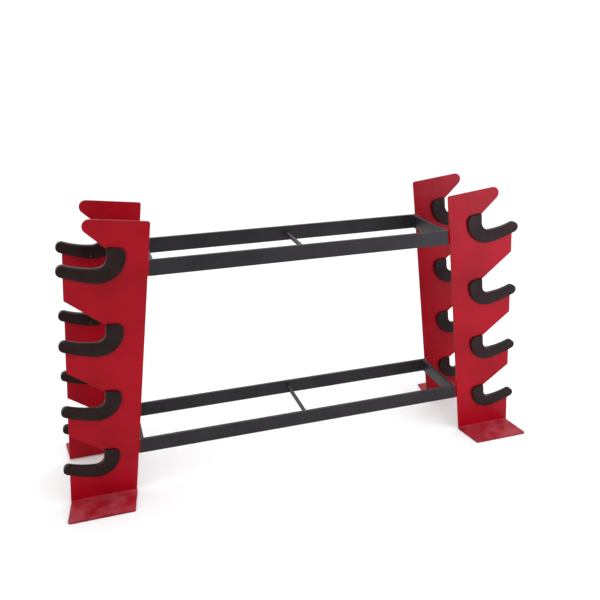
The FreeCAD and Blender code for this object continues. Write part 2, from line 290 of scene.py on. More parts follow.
steel = {
    "wear": ((210.0, 6.0), (0.52, 0.75)),
    "brushing": (320.0, 4.0, (1, 1, 5)), "brushingLimits": (0.3, 0.7),
    "bumps": (((1500.0, 2.0), 0.12, 0.0002),),
}
blackSteel = {"name": "blackenedSteel", "colour": (0.030, 0.030, 0.033), "worn": (0.16, 0.155, 0.15),
              "metallic": 0.85, "roughness": (0.30, 0.46)}
zincSteel = {"name": "zincPlate", "colour": (0.50, 0.50, 0.47), "worn": (0.66, 0.64, 0.58),
             "metallic": 1.0, "roughness": (0.24, 0.42)}


def makeSteel(look):
    # one colour worn to another in patches, with brushed roughness
    finish, tree, shader = newFinish(look["name"])
    worn = addPatches(tree, *steel["wear"])
    tree.links.new(addMix(tree, worn, look["colour"], look["worn"]), shader.inputs["Base Color"])
    rough = addPatches(tree, steel["brushing"], steel["brushingLimits"] + look["roughness"])
    tree.links.new(rough, shader.inputs["Roughness"])
    shader.inputs["Metallic"].default_value = look["metallic"]
    addBump(tree, shader, steel["bumps"])
    return finish


finishes = {
    "red_powder_coat": makeCoat(redCoat),
    "black_powder_coat": makeCoat(blackCoat),
    "moulded_rubber": makeSaddleRubber(saddleRubber),
    "blackened_steel": makeSteel(blackSteel),
    "zinc_plate": makeSteel(zincSteel),
}
print("finishes mixed")


# what all the pieces are made with

sharpAngle = math.radians(38)   # edges that turn more than this stay sharp
mergeDistance = 3e-6            # metres
nearly = 0.99                   # a share that leaves room for rounding errors


def quarterTurn(steps):
    return np.linspace(0, math.pi / 2, steps + 1)


def gridFaces(rows, columns, closeRows=False, closeColumns=True):
    # four-sided faces between neighbouring rows and columns of a grid of points
    row, column = np.meshgrid(np.arange(rows if closeRows else rows - 1),
                              np.arange(columns if closeColumns else columns - 1), indexing="ij")
    nextRow, nextColumn = (row + 1) % rows, (column + 1) % columns
    corners = [row * columns + column, row * columns + nextColumn,
               nextRow * columns + nextColumn, nextRow * columns + column]
    return np.stack(corners, -1).reshape(-1, 4)


def cappedFaces(rows, columns):
    # rings joined one to the next, with a flat face over the first and the last
    last = (rows - 1) * columns
    return gridFaces(rows, columns).tolist() + [list(range(columns)), list(range(last, last + columns))]


def roundedPath(corners, radii, steps=12):
    # every inner corner becomes an arc tangent to both its sides:
    # point = start + r (d sin f + n (1 - cos f)), with d the way in and n towards the arc's centre
    corners = np.array(corners, float)
    radii = np.array(radii, float)[:, None]
    along = np.diff(corners, axis=0)
    along /= np.linalg.norm(along, axis=1, keepdims=True)
    into, away = along[:-1], along[1:]
    turn = np.arctan2(into[:, 0] * away[:, 1] - into[:, 1] * away[:, 0], (into * away).sum(1))[:, None]
    centreWay = np.stack([-into[:, 1], into[:, 0]], -1) * np.sign(turn)
    start = corners[1:-1] - into * radii * np.tan(np.abs(turn) / 2)
    part = np.linspace(0, 1, steps + 1)[None, :, None] * np.abs(turn)[:, None]
    bow = into[:, None] * np.sin(part) + centreWay[:, None] * (1 - np.cos(part))
    arcs = start[:, None] + radii[:, None] * bow
    ways = into[:, None] * np.cos(part) + centreWay[:, None] * np.sin(part)
    points = np.concatenate([corners[:1], arcs.reshape(-1, 2), corners[-1:]])
    return points, np.concatenate([along[:1], ways.reshape(-1, 2), along[-1:]])


def leftOf(ways):
    # each way turned a quarter to the left: (x, y) becomes (-y, x)
    return np.stack([-ways[:, 1], ways[:, 0]], -1)


def toQuarter(points, row, end):
    # the front right quarter's points, mirrored to their row and end
    return points * np.array([1 if end == "right" else -1, 1 if row == "front" else -1, 1])


def joinParts(parts):
    # several (points, faces) shapes as one
    starts = np.cumsum([0] + [len(points) for points, _ in parts])
    faces = [tuple(int(corner) + int(start) for corner in face)
             for (_, shapeFaces), start in zip(parts, starts) for face in shapeFaces]
    return np.concatenate([points for points, _ in parts]), faces


def sealMesh(mesh):
    # doubled points are merged, then the faces are turned outwards
    work = bmesh.new()
    work.from_mesh(mesh)
    bmesh.ops.remove_doubles(work, verts=work.verts, dist=mergeDistance)
    bmesh.ops.recalc_face_normals(work, faces=work.faces)
    work.to_mesh(mesh)
    work.free()


def makePiece(name, points, faces, slotName, standsFor=(), marks=None):
    mesh = bpy.data.meshes.new(name)
    mesh.from_pydata((np.asarray(points) * mm).tolist(), [], [tuple(map(int, face)) for face in faces])
    for key, values in (marks or {}).items():
        mark = mesh.attributes.new(key, "FLOAT", "POINT")
        mark.data.foreach_set("value", np.asarray(values, np.float32).ravel())
    sealMesh(mesh)
    mesh.polygons.foreach_set("use_smooth", np.ones(len(mesh.polygons), bool))
    mesh.set_sharp_from_angle(angle=sharpAngle)
    mesh.materials.append(finishes[slotName])
    piece = bpy.data.objects.new(name, mesh)
    bpy.context.scene.collection.objects.link(piece)
    evenNormals = piece.modifiers.new("evenNormals", "WEIGHTED_NORMAL")
    evenNormals.keep_sharp = True
    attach(piece, "root")
    if standsFor:
        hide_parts(*standsFor)
    return piece


# Uprights are bent plate with four notches. Measures across and up lie in the plate, from the foot
# of its inner edge, and each tier's own measures run inwards and up from its saddle's tip.

upright = {
    "lean": 7.4,                  # degrees
    "span": 659.5,                # from the middle to the inner edge, at the floor
    "length": 1000.0,
    "width": 228.0, "growth": 0.043,
    "plate": 6.0,
    "noseCorner": (255.4, 997.3), "noseRadius": 23.9,
    "topRadius": 8.0, "cornerRadius": 7.0, "hiddenRadius": 2.0,
    "lipShare": 0.94,             # radius of the notch's lip, as a share of the saddle's
    "bendRadius": 9.0, "bendTop": 12.0, "bendSteps": 10, "bendClear": 1.0,
    "footReach": 119.5, "footSkew": (18.0, 14.0), "footRadius": 9.0, "footInnerRadius": 2.0,
    "rim": 0.9,                   # rounding of the plate's edges
}

tiers = {
    "count": 4, "topHeight": 828.0, "pitch": 256.0, "pitchStep": 16.0,
    "firstScale": 1.04, "scaleStep": 0.04, "overhang": 21.0, "cornerDrop": 95.0,
}

saddle = {
    "wallIn": 176.0, "wallTop": 80.0, "bowlRadius": 61.0, "bowlDrop": 12.5, "lipRun": 96.0,
    "bandTop": 29.0, "bandTip": 19.0, "cutUp": 73.2,
    "depth": 25.0, "edge": 4.0, "edgeShare": 0.95, "outerCorner": 24.0, "innerCorner": 6.0,
    "crown": 0.7, "crownSteps": (0, 0.05, 0.12, 0.4, 0.7, 1.0), "cheekMargin": 0.7, "partingLine": 0.22,
    "slot": 6.4, "slotLip": 0.8, "slotFloor": 0.3, "web": 1.5,
    "slotWallCorners": 3,                                # length of the slot's wall part, in outer corners
    "slotEnd": 7.0, "slotFade": 6.0,                     # past the plate's edge, along the lip
    "lengthRings": 46, "tipRings": 13, "tipTurn": 1.49,
    "seatSkin": 1.0, "seatFrom": 0.2,
    "screws": ((190.5, 52.0), (114.0, -25.5)),
    "pocketRadius": 5.5, "pocketDepth": 3.6, "pocketChamfer": 0.6, "pocketOverrun": 1.0,
}

cosLean = math.cos(math.radians(upright["lean"]))
sinLean = math.sin(math.radians(upright["lean"]))
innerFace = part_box("upright_front_right")[1].y / mm         # y of the plate's inner face
plateMiddle = innerFace - upright["plate"] / 2
lipRadius = (saddle["lipRun"] ** 2 + saddle["bowlDrop"] ** 2) / (2 * saddle["bowlDrop"])
lipTurn = math.asin(saddle["lipRun"] / lipRadius)


def stand(across, up, depth):
    # plate measures to the rack's own: x = span + across cos - up sin, z = across sin + up cos
    x = upright["span"] + across * cosLean - up * sinLean
    return np.stack(np.broadcast_arrays(x, depth, across * sinLean + up * cosLean), -1)


def leanWay(ways):
    # a direction in the plate's plane, turned by the lean
    return np.stack([ways[:, 0] * cosLean - ways[:, 1] * sinLean, np.zeros(len(ways)),
                     ways[:, 0] * sinLean + ways[:, 1] * cosLean], -1)


def plateWidth(up):
    # width at the floor + growth times up
    return upright["width"] + upright["growth"] * up


def tierScale(tier):
    # the saddles get a step smaller with every tier down
    return tiers["firstScale"] - tiers["scaleStep"] * tier


def tierTip(tier):
    # up = top height - pitch t + step t (t - 1) / 2, with each pitch one step less than the one above
    up = tiers["topHeight"] - tier * tiers["pitch"] + tiers["pitchStep"] * tier * (tier - 1) / 2
    return np.array([plateWidth(up) + tiers["overhang"], up])


def inTier(tier, inwards, up):
    # tip + scale (-inwards, up)
    return tierTip(tier) + tierScale(tier) * np.array([-inwards, up])


def tierCorner(tier):
    # the corner of the outer edge below a tier
    up = tierTip(tier)[1] - tiers["cornerDrop"] * tierScale(tier)
    return np.array([plateWidth(up), up])


def cutStart(tier):
    # the top tier's slanting cut starts at the nose, the others at the corner above them
    return np.array(upright["noseCorner"]) if tier == 0 else tierCorner(tier - 1)


def cutFoot(tier):
    # the slanting cut carried on to the middle of the saddle's wall
    meet = inTier(tier, saddle["wallIn"] - saddle["bandTop"], saddle["cutUp"])
    wall = inTier(tier, saddle["wallIn"], 0)[0]
    start = cutStart(tier)
    return np.array([wall, meet[1] + (start[1] - meet[1]) * (wall - meet[0]) / (start[0] - meet[0])])


def lipExit(tier):
    # how far round the lip's arc it meets the plate's outer edge: where across = plate width at that up
    turns = np.linspace(0, lipTurn, 2000)
    (tipAcross, tipUp), scale = tierTip(tier), tierScale(tier)
    across = tipAcross - scale * (saddle["wallIn"] - saddle["bowlRadius"] - lipRadius * np.sin(turns))
    up = tipUp + scale * (lipRadius * (1 - np.cos(turns)) - saddle["bowlDrop"])
    return turns[np.argmin(np.abs(across - plateWidth(up)))]


def plateOutline():
    # up the inner edge, round the nose, then down the outer edge notch by notch
    low = upright["bendTop"] + upright["bendClear"]
    corners = [(0, low / cosLean), (0, upright["length"]), upright["noseCorner"]]
    radii = [upright["topRadius"], upright["noseRadius"]]
    bowlIn = saddle["wallIn"] - saddle["bowlRadius"]
    for tier in range(tiers["count"]):
        turn = lipExit(tier)
        scale = tierScale(tier)
        exitUp = lipRadius * (1 - math.cos(turn)) - saddle["bowlDrop"]
        corners += [cutFoot(tier), inTier(tier, saddle["wallIn"], -saddle["bowlDrop"]),
                    inTier(tier, bowlIn - lipRadius * math.tan(turn / 2), -saddle["bowlDrop"]),
                    inTier(tier, bowlIn - lipRadius * math.sin(turn), exitUp)]
        radii += [upright["hiddenRadius"], saddle["bowlRadius"] * scale,
                  upright["lipShare"] * lipRadius * scale, upright["hiddenRadius"]]
        if tier < tiers["count"] - 1:
            corners.append(tierCorner(tier))
            radii.append(upright["cornerRadius"])
    up = (low - upright["width"] * sinLean) / (cosLean + upright["growth"] * sinLean)
    corners.append((plateWidth(up), up))
    return roundedPath(corners, radii)


def rimProfile(thickness, radius, steps=4, margin=0.6):
    # across a plate's edge: face, quarter round, edge, quarter round, face
    turn = quarterTurn(steps)
    out = np.concatenate([[-radius - margin], radius * (np.sin(turn) - 1)])
    side = np.concatenate([[thickness / 2], thickness / 2 - radius * (1 - np.cos(turn))])
    return np.stack([np.concatenate([out, out[::-1]]), np.concatenate([side, -side[::-1]])], -1)


def uprightShape():
    # the edge profile carried once round the bent blank, then flat faces and bend strips between its sides
    outline, ways = plateOutline()
    standing = stand(outline[:, 0], outline[:, 1], plateMiddle)
    innerX, outerX = (stand(outline[i, 0], outline[i, 1], 0)[0] for i in (0, -1))
    bendY = innerFace - upright["bendTop"]
    turn = quarterTurn(upright["bendSteps"])
    bendDown = np.stack([np.full(len(turn), outerX), bendY + upright["bendRadius"] * np.cos(turn),
                         upright["bendTop"] - upright["bendRadius"] * np.sin(turn)], -1)
    bendFacing = np.stack([np.zeros(len(turn)), np.cos(turn), -np.sin(turn)], -1)
    bendUp = bendDown[::-1] * (0, 1, 1) + (innerX, 0, 0)
    frontY = innerFace - upright["plate"] - upright["footReach"]
    innerSkew, outerSkew = upright["footSkew"]
    foot, footWays = roundedPath([(outerX, bendY), (outerX + outerSkew, frontY), (innerX + innerSkew, frontY),
                                  (innerX, bendY)], [upright["footRadius"], upright["footInnerRadius"]])
    foot[0] += footWays[0] * upright["bendClear"]
    foot[-1] -= footWays[-1] * upright["bendClear"]
    footOut = leftOf(footWays)
    flat = np.zeros((len(foot), 1))
    path = np.concatenate([standing, bendDown, np.hstack([foot, flat + upright["plate"] / 2]), bendUp])
    outward = np.concatenate([leanWay(leftOf(ways)), np.tile((1.0, 0, 0), (len(turn), 1)),
                              np.hstack([footOut, flat]), np.tile((-1.0, 0, 0), (len(turn), 1))])
    facing = np.concatenate([np.tile((0.0, 1, 0), (len(standing), 1)), bendFacing,
                             np.tile((0.0, 0, -1), (len(foot), 1)), bendFacing[::-1]])
    profile = rimProfile(upright["plate"], upright["rim"])
    points = path[:, None] + outward[:, None] * profile[None, :, :1] + facing[:, None] * profile[None, :, 1:]

    count, last = len(profile), len(profile) - 1
    faces = gridFaces(len(path), count, closeRows=True, closeColumns=False).tolist()
    standEnd, footStart = len(standing), len(standing) + len(turn)
    footEnd = footStart + len(foot)
    for column in (0, last):
        faces.append((np.arange(standEnd) * count + column).tolist())
        faces.append((np.arange(footStart, footEnd) * count + column).tolist())
        outerSide = np.arange(standEnd - 1, footStart + 1)
        innerSide = np.concatenate([[0], np.arange(len(path) - 1, footEnd - 2, -1)])
        strips = np.stack([outerSide[:-1], outerSide[1:], innerSide[1:], innerSide[:-1]], -1) * count + column
        faces += strips.tolist()
    rim = np.tile(np.where(profile[:, 0] > -upright["rim"] * nearly, 1.0, 0.0), len(path))
    return points.reshape(-1, 3), faces, rim


def buildUprights():
    points, faces, rim = uprightShape()
    for row, end in quarters:
        makePiece(f"upright-{row}-{end}", toQuarter(points, row, end), faces, "red_powder_coat",
                  [f"upright_{row}_{end}"], {"rim": rim})


buildUprights()
print("uprights bent")


# Saddles are a moulded J, pushed over the notch's edge and screwed from the rack's inner side.

def cornerCut(radius, distance):
    # how far a rounded corner stands in, at a distance from the end: r - sqrt(r^2 - (r - d)^2)
    near = np.clip(distance, 0, radius)
    return radius - np.sqrt(np.clip(radius ** 2 - (radius - near) ** 2, 0, None))


def saddleLine(along, scale):
    # straight down the wall, a quarter turn round the bowl, a wide arc along the lip, then straight on
    wall = (saddle["wallTop"] - saddle["bowlRadius"] + saddle["bowlDrop"]) * scale
    bowl, lip = saddle["bowlRadius"] * scale, lipRadius * scale
    inBowl = np.clip((along - wall) / bowl, 0, math.pi / 2)
    inLip = np.clip((along - wall - bowl * math.pi / 2) / lip, 0, lipTurn)
    beyond = np.clip(along - saddleLength(scale), 0, None)
    inwards = (saddle["wallIn"] * scale - bowl * (1 - np.cos(inBowl)) - lip * np.sin(inLip)
               - beyond * math.cos(lipTurn))
    up = (saddle["wallTop"] * scale - np.clip(along, 0, wall) - bowl * np.sin(inBowl)
          + lip * (1 - np.cos(inLip)) + beyond * math.sin(lipTurn))
    return inwards, up, inBowl + inLip


def saddleLength(scale):
    wall = saddle["wallTop"] - saddle["bowlRadius"] + saddle["bowlDrop"]
    return scale * (wall + saddle["bowlRadius"] * math.pi / 2 + lipRadius * lipTurn)


def saddleShape(tier):
    # two parameters: distance along the J and the way round its slotted section
    scale = tierScale(tier)
    length = saddleLength(scale)
    corner, tip = saddle["outerCorner"] * scale, saddle["bandTip"] * scale
    tipTurn = np.linspace(0, saddle["tipTurn"], saddle["tipRings"])
    along = np.concatenate([corner * (1 - np.cos(quarterTurn(10))),
                            np.linspace(corner, length, saddle["lengthRings"])[1:],
                            length + tip * np.sin(tipTurn)[1:]])
    share = np.clip(along / length, 0, 1)
    narrowing = saddle["bandTip"] - saddle["bandTop"]
    half = (saddle["bandTop"] + narrowing * share ** 2 * (3 - 2 * share)) * scale
    half = np.where(along > length, np.sqrt(np.clip(tip ** 2 - (along - length) ** 2, 0, None)), half)
    inner = half - cornerCut(saddle["innerCorner"], along)
    outer = half - cornerCut(corner, along)
    edge = saddle["edge"]
    depth = saddle["depth"] / 2 - cornerCut(edge, along) - cornerCut(edge, length + tip - along)
    inwards, up, heading = saddleLine(along, scale)

    # the slot follows the plate: to the J's middle, deeper above the slanting cut, none past the plate
    cutUp = cutFoot(tier)[1] - tierTip(tier)[1]
    rise = (up - cutUp) / (saddle["cutUp"] * scale - cutUp)
    floor = np.clip(saddle["bandTop"] * scale * rise, saddle["slotFloor"], inner - saddle["web"])
    exitAt = length - lipRadius * scale * (lipTurn - lipExit(tier))
    opening = 1 - np.clip((along - exitAt - saddle["slotEnd"]) / saddle["slotFade"], 0, 1)
    opening = opening ** 2 * (3 - 2 * opening)
    floor = np.where(along < corner * saddle["slotWallCorners"], floor, saddle["slotFloor"])
    floor = -outer + (floor + outer) * opening
    slot, lip = saddle["slot"] / 2, saddle["slotLip"] * opening

    flat = np.array(saddle["crownSteps"])
    turn, shortTurn = quarterTurn(4), quarterTurn(3)
    edgeIn, edgeOut = (np.minimum(edge, half * saddle["edgeShare"])[:, None] for half in (inner, outer))
    cheek = saddle["cheekMargin"]
    inner, outer, depth, floor, lip = (values[:, None] for values in (inner, outer, depth, floor, lip))
    crown = saddle["crown"] * (1 - flat ** 2) + np.where(flat == 0, saddle["partingLine"], 0)
    bowlDepth = (depth - edge) * flat
    across = [inner + crown * np.clip(edgeIn / edge, 0, 1), inner - edgeIn + edgeIn * np.cos(turn[1:]),
              inner - edgeIn - cheek, edgeOut - outer + cheek,
              edgeOut - outer - edgeOut * np.sin(turn), -outer + 0 * slot,
              lip * (1 - np.cos(shortTurn)) - outer, floor, floor]
    deep = [bowlDepth, depth - edge + edge * np.sin(turn[1:]), depth, depth,
            depth - edge + edge * np.cos(turn), (slot + lip + depth - edge) / 2,
            slot + lip * (1 - np.sin(shortTurn)), slot + 0 * floor, 0 * floor]
    across, deep = (np.concatenate([np.broadcast_to(values, (len(along), values.shape[-1]))
                                    for values in side], 1) for side in (across, deep))
    across = np.concatenate([across, across[:, -2:0:-1]], 1)
    deep = np.concatenate([deep, -deep[:, -2:0:-1]], 1)
    inwards = inwards[:, None] - across * np.cos(heading)[:, None]
    up = up[:, None] + across * np.sin(heading)[:, None]
    tipAcross, tipUp = tierTip(tier)
    points = stand(tipAcross - inwards, tipUp + up, plateMiddle + deep)
    rows, columns = across.shape
    faces = cappedFaces(rows, columns)
    onSeat = (across > inner - saddle["seatSkin"]) & (share[:, None] > saddle["seatFrom"])
    seat = np.where(onSeat, 1.0, 0.0)
    return points.reshape(-1, 3), faces, seat.ravel()


def turnedShape(rings, centre, axis, columns=48):
    # a shape turned about an axis: each ring has a radius, a height along the axis and a share of
    # hexagon, whose radius at an angle is half its width across flats / cos(angle from the nearest flat)
    rings = np.array(rings, float)
    axis = np.array(axis, float) / np.linalg.norm(axis)
    first = np.cross(axis, (0.0, 0, 1))
    first /= np.linalg.norm(first)
    second = np.cross(axis, first)
    angle = np.linspace(0, 2 * math.pi, columns, endpoint=False)
    fromFlat = np.mod(angle + math.pi / 6, math.pi / 3) - math.pi / 6
    radius = rings[:, :1] * (1 + rings[:, 2:] * (1 / np.cos(fromFlat) - 1))
    round3d = np.cos(angle)[:, None] * first + np.sin(angle)[:, None] * second
    points = np.array(centre) + radius[:, :, None] * round3d + rings[:, 1, None, None] * axis
    return points.reshape(-1, 3), gridFaces(len(rings), columns).tolist()


def pocketCutters(tier):
    # one bore for each screw head, chamfered at its mouth, from the cheek on the rack's inner side
    mouth = plateMiddle + saddle["depth"] / 2
    radius, chamfer, floor = saddle["pocketRadius"], saddle["pocketChamfer"], -saddle["pocketDepth"]
    past = saddle["pocketOverrun"]
    rings = [(0, past, 0), (radius + chamfer + past, past, 0), (radius, -chamfer, 0),
             (radius, floor, 0), (0, floor, 0)]
    return joinParts([turnedShape(rings, stand(*inTier(tier, *place), mouth), (0, 1, 0))
                      for place in saddle["screws"]])


def cutAway(piece, points, faces):
    # takes one closed shape out of a piece, and keeps only the piece's new mesh
    mesh = bpy.data.meshes.new("cutter")
    mesh.from_pydata((points * mm).tolist(), [], faces)
    sealMesh(mesh)
    cutter = bpy.data.objects.new("cutter", mesh)
    bpy.context.scene.collection.objects.link(cutter)
    cut = piece.modifiers.new("pockets", "BOOLEAN")
    cut.object = cutter
    cut.solver = "EXACT"
    piece.modifiers.move(len(piece.modifiers) - 1, 0)
    piece.modifiers["evenNormals"].show_viewport = False
    result = bpy.data.meshes.new_from_object(piece.evaluated_get(bpy.context.evaluated_depsgraph_get()))
    piece.modifiers["evenNormals"].show_viewport = True
    piece.modifiers.remove(cut)
    piece.data = result
    piece.data.set_sharp_from_angle(angle=sharpAngle)
    bpy.data.objects.remove(cutter)


def buildSaddles():
    for tier in range(tiers["count"]):
        points, faces, seat = saddleShape(tier)
        cutPoints, cutFaces = pocketCutters(tier)
        for row, end in quarters:
            piece = makePiece(f"saddle-{row}-{end}-{tier + 1}", toQuarter(points, row, end), faces,
                              "moulded_rubber", [f"saddle_{row}_{end}_{tier + 1}"], {"seat": seat})
            cutAway(piece, toQuarter(cutPoints, row, end), cutFaces)


buildSaddles()
print("saddles moulded")


# Frames are rectangular tube, with the long rails' ends cut to the lean.

tube = {"height": 55.0, "width": 12.0, "wall": 2.0, "corner": 1.8, "insideCorner": 0.8,
        "endRound": 0.4, "endBand": 2.0, "brace": 12.0, "braceCorner": 1.4}
cleat = {"thickness": 5.0, "leg": 45.0, "toe": 2.2, "root": 4.5, "heel": 0.8, "rim": 0.7, "seam": 0.1}
railY = innerFace + tube["width"]                           # inner face of the front rail


def frameMiddle(name):
    low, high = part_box(f"{name}_rail_front")
    return (low.z + high.z) / 2 / mm


def cleatUp(name):
    # how far up the plate's lean the end rail's middle is: (middle + distance from the plate sin) / cos
    return (frameMiddle(name) + (cleat["thickness"] + tube["width"] / 2) * sinLean) / cosLean


def cleatEnds(name):
    return cleatUp(name) - tube["height"] / 2, cleatUp(name) + tube["height"] / 2


def roundedLoop(width, height, radius, steps=4, margin=0.5):
    # one rounded corner with a point beyond each end, carried to all four quarters in turn
    turn, halfWide, halfHigh = quarterTurn(steps), width / 2, height / 2
    x = np.concatenate([[halfWide], halfWide - radius + radius * np.cos(turn), [halfWide - radius - margin]])
    y = np.concatenate([[halfHigh - radius - margin], halfHigh - radius + radius * np.sin(turn), [halfHigh]])
    corner = np.stack([x, y], -1)
    return np.concatenate([corner, corner[::-1] * (-1, 1), -corner, corner[::-1] * (1, -1)])


def tubeRows():
    # outside and inside loops, and where along the tube each is drawn, from one end round to the other
    outside = roundedLoop(tube["width"], tube["height"], tube["corner"])
    lip = roundedLoop(tube["width"] - tube["endRound"], tube["height"] - tube["endRound"], tube["corner"])
    inside = roundedLoop(tube["width"] - 2 * tube["wall"], tube["height"] - 2 * tube["wall"],
                         tube["insideCorner"])
    halfLoops = [inside, lip, outside, outside]
    steps = np.array([0, 0, tube["endRound"], tube["endBand"]])
    return np.array(halfLoops + halfLoops[::-1]), steps


def longRailShape(name):
    # the loop's height sets where the leaning end is: x = span - cleat - height tan(lean)
    loops, steps = tubeRows()
    height = frameMiddle(name) + loops[:, :, 1]
    endX = upright["span"] - cleat["thickness"] / cosLean - height * sinLean / cosLean
    inset = np.concatenate([steps, steps[::-1]])[:, None]
    side = np.repeat([-1, 1], len(steps))[:, None]
    x = side * (endX - inset)
    points = np.stack([x, railY - tube["width"] / 2 + loops[:, :, 0], height], -1)
    return points.reshape(-1, 3), gridFaces(*x.shape, closeRows=True).tolist()


def endRailShape(name):
    # the loop leans with the uprights, and its ends lie against the long rails
    loops, steps = tubeRows()
    y = np.concatenate([railY + steps, (-railY - steps)[::-1]])[:, None] + 0 * loops[:, :, 0]
    across = -cleat["thickness"] - tube["width"] / 2 + loops[:, :, 0]
    points = stand(across, cleatUp(name) + loops[:, :, 1], y)
    return points.reshape(-1, 3), gridFaces(*y.shape, closeRows=True).tolist()


def braceShape(name):
    # a square bar from rail to rail
    loop, band = roundedLoop(tube["brace"], tube["brace"], tube["braceCorner"]), tube["endBand"]
    y = np.array([railY, railY + band, -railY - band, -railY])[:, None] + 0 * loop[:, 0]
    points = np.stack([loop[:, 0] + 0 * y, y, frameMiddle(name) + loop[:, 1] + 0 * y], -1)
    rows, columns = y.shape
    faces = cappedFaces(rows, columns)
    return points.reshape(-1, 3), faces


def tubeRim(points):
    # marks the rounded corners of a tube, where the coat rubs thin
    loop = roundedLoop(tube["width"], tube["height"], tube["corner"])
    cornerStart = np.array([tube["width"], tube["height"]]) / 2 - tube["corner"] * nearly
    onCorner = (np.abs(loop) > cornerStart).all(1)
    return np.tile(onCorner.astype(float), len(points) // len(loop))


# weld beads, in millimetres

weld = {
    "size": 3.6, "braceSize": 3.0, "root": 0.3,
    "base": 0.9, "ripple": 0.10, "belly": 0.08, "pitch": 2.6, "lag": 1.3, "endLeast": 0.01,
    "step": 0.65, "leastRings": 8, "turnSteps": 6,
    "cornerGap": 2.5, "braceGap": 0.6, "cleatStart": 2.0,
}


def beadShape(start, finish, sideA, sideB, size=weld["size"]):
    # a quarter round carried from start to finish. Its radius is size (base + ripple |sin| + belly sin 2f)
    # at f round the bead. The crescents lag towards the bead's middle, and both ends are rounded off
    start, finish, sideA, sideB = (np.array(values, float) for values in (start, finish, sideA, sideB))
    length = np.linalg.norm(finish - start)
    travel = np.linspace(0, length, max(weld["leastRings"], int(length / weld["step"])))[:, None]
    turn = quarterTurn(weld["turnSteps"])[None, :]
    bulge = np.sin(2 * turn)
    wave = np.abs(np.sin(math.pi * (travel + weld["lag"] * bulge) / weld["pitch"]))
    nearEnd = np.clip(np.minimum(travel, length - travel) / size, 0, 1)
    rounding = np.sqrt(np.clip(1 - (1 - nearEnd) ** 2, weld["endLeast"], 1))
    radius = size * rounding * (weld["base"] + weld["ripple"] * wave + weld["belly"] * bulge)
    spine = start + travel * (finish - start) / length
    sides = np.cos(turn)[0, :, None] * sideA + np.sin(turn)[0, :, None] * sideB
    surface = spine[:, None] + radius[:, :, None] * sides
    root = (spine - weld["root"] * (sideA + sideB))[:, None]
    points = np.concatenate([surface, root], 1)
    rows, columns = points.shape[:2]
    faces = cappedFaces(rows, columns)
    return points.reshape(-1, 3), faces


def frameBeads(name):
    # the four inner corners of a frame, and both sides and the underside of the brace's ends
    parts = []
    up, half = cleatUp(name), tube["height"] / 2 - weld["cornerGap"]
    innerEdge = -cleat["thickness"] - tube["width"]
    corner = [stand(innerEdge, up + side * half, railY) for side in (-1, 1)]
    awayFromEnd, awayFromRail = np.array([-cosLean, 0, -sinLean]), np.array([0, 1.0, 0])
    for row, end in quarters:
        parts.append(beadShape(*(toQuarter(values, row, end)
                                 for values in (*corner, awayFromEnd, awayFromRail))))
    middle, arm = frameMiddle(name), tube["brace"] / 2
    reach = (-arm + weld["braceGap"], arm - weld["braceGap"])
    for row in (1, -1):
        for side in (-1, 1):
            ends = [(side * arm, row * railY, middle + height) for height in reach]
            parts.append(beadShape(*ends, (side, 0, 0), (0, row, 0), weld["braceSize"]))
        under = [(x, row * railY, middle - arm) for x in reach]
        parts.append(beadShape(*under, (0, 0, -1), (0, row, 0), weld["braceSize"]))
    return joinParts(parts)


def buildFrames():
    for name in ("top", "bottom"):
        points, faces = longRailShape(name)
        rim = tubeRim(points)
        for row in ("front", "rear"):
            makePiece(f"{name}Rail-{row}", toQuarter(points, row, "right"), faces, "black_powder_coat",
                      [f"{name}_rail_{row}"], {"rim": rim})
        points, faces = endRailShape(name)
        for end in ("left", "right"):
            makePiece(f"{name}EndRail-{end}", toQuarter(points, "front", end), faces, "black_powder_coat",
                      [f"{name}_end_rail_{end}"], {"rim": rim})
        makePiece(f"{name}Brace", *braceShape(name), "black_powder_coat", [f"{name}_brace"])
        makePiece(f"{name}FrameWelds", *frameBeads(name), "black_powder_coat")


buildFrames()
print("frames welded")


# Cleats are short angles, welded behind each upright and bolted to the frames' ends.

def cleatShape(name):
    # an L section with rounded toes and root, carried up the lean, with its two ends eased
    thick, leg = cleat["thickness"], cleat["leg"]
    corners = [(-thick, leg / 2), (-thick, 0), (leg - thick, 0), (leg - thick, thick), (0, thick), (0, leg),
               (-thick, leg), (-thick, leg / 2 + cleat["seam"])]
    radii = [cleat["heel"], cleat["heel"], cleat["toe"], cleat["root"], cleat["toe"], cleat["heel"]]
    loop, ways = roundedPath(corners, radii, steps=5)
    inward = leftOf(ways)
    rim = cleat["rim"]
    low, high = cleatEnds(name)
    eased = rim * (1 - np.sin(quarterTurn(3)))
    height = rim * (1 - np.cos(quarterTurn(3)))
    insets = np.concatenate([eased, eased[::-1]])[:, None, None]
    up = np.concatenate([low + height, (high - height)[::-1]])[:, None]
    section = loop[None] + inward[None] * insets
    points = stand(section[:, :, 0], up, innerFace + section[:, :, 1])
    rows, columns = section.shape[:2]
    faces = cappedFaces(rows, columns)
    return points.reshape(-1, 3), faces


def cleatBeads(name):
    # along the top, the end and the bottom of the leg that lies on the plate
    low, high = cleatEnds(name)
    toe = cleat["leg"] - cleat["thickness"]
    upward, outward = np.array([-sinLean, 0, cosLean]), np.array([cosLean, 0, sinLean])
    away, start = np.array([0, 1.0, 0]), weld["cleatStart"]
    return joinParts([
        beadShape(stand(start, high, innerFace), stand(toe, high, innerFace), upward, away),
        beadShape(stand(toe, low, innerFace), stand(toe, high, innerFace), outward, away),
        beadShape(stand(start, low, innerFace), stand(toe, low, innerFace), -upward, away),
    ])


